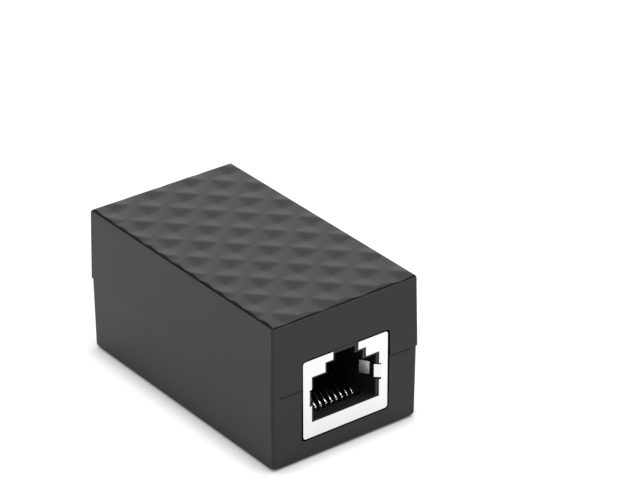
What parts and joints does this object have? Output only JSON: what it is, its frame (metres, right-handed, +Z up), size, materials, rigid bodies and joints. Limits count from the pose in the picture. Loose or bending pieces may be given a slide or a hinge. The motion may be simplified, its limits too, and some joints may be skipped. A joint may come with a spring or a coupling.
{
  "type": "ethernet surge protector",
  "caption": "Inline network surge protector: a black two-shell housing with a diamond-relief top and a shielded socket in each end, over a board of arresters.",
  "frame": {"origin": "middle of the flat underside", "axes": "+X along the housing towards its near socket, +Y across it, +Z up"},
  "size_m": [0.049, 0.0282, 0.0253],
  "materials": {
    "black_abs": "moulded, satin",
    "green_board": "solder mask over glass laminate",
    "tinplate": "bright nickel plate",
    "jack_plastic": "moulded",
    "gold_plate": "gold flash",
    "red_glass": "lacquered glass",
    "tinned_wire": "tinned",
    "solder": "bright solder"
  },
  "bodies": {
    "root": {"upper_shell": "black_abs", "lower_shell": "black_abs", "circuit_board": "green_board", "near_shield": "tinplate", "near_rear_cover": "tinplate", "near_insert_housing": "jack_plastic", "near_contact_carrier": "jack_plastic", "near_contact_1": "gold_plate", "near_contact_2": "gold_plate", "near_contact_3": "gold_plate", "near_contact_4": "gold_plate", "near_contact_5": "gold_plate", "near_contact_6": "gold_plate", "near_contact_7": "gold_plate", "near_contact_8": "gold_plate", "far_shield": "tinplate", "far_rear_cover": "tinplate", "far_insert_housing": "jack_plastic", "far_contact_carrier": "jack_plastic", "far_contact_1": "gold_plate", "far_contact_2": "gold_plate", "far_contact_3": "gold_plate", "far_contact_4": "gold_plate", "far_contact_5": "gold_plate", "far_contact_6": "gold_plate", "far_contact_7": "gold_plate", "far_contact_8": "gold_plate", "arrester_1_body": "red_glass", "arrester_1_lower_lead": "tinned_wire", "arrester_1_upper_lead": "tinned_wire", "arrester_2_body": "red_glass", "arrester_2_lower_lead": "tinned_wire", "arrester_2_upper_lead": "tinned_wire", "arrester_3_body": "red_glass", "arrester_3_lower_lead": "tinned_wire", "arrester_3_upper_lead": "tinned_wire", "arrester_4_body": "red_glass", "arrester_4_lower_lead": "tinned_wire", "arrester_4_upper_lead": "tinned_wire", "arrester_5_body": "red_glass", "arrester_5_lower_lead": "tinned_wire", "arrester_5_upper_lead": "tinned_wire", "arrester_6_body": "red_glass", "arrester_6_lower_lead": "tinned_wire", "arrester_6_upper_lead": "tinned_wire", "arrester_7_body": "red_glass", "arrester_7_lower_lead": "tinned_wire", "arrester_7_upper_lead": "tinned_wire", "arrester_8_body": "red_glass", "arrester_8_lower_lead": "tinned_wire", "arrester_8_upper_lead": "tinned_wire", "near_socket_solder": "solder", "far_socket_solder": "solder", "arrester_solder": "solder"}
  },
  "joints": []
}
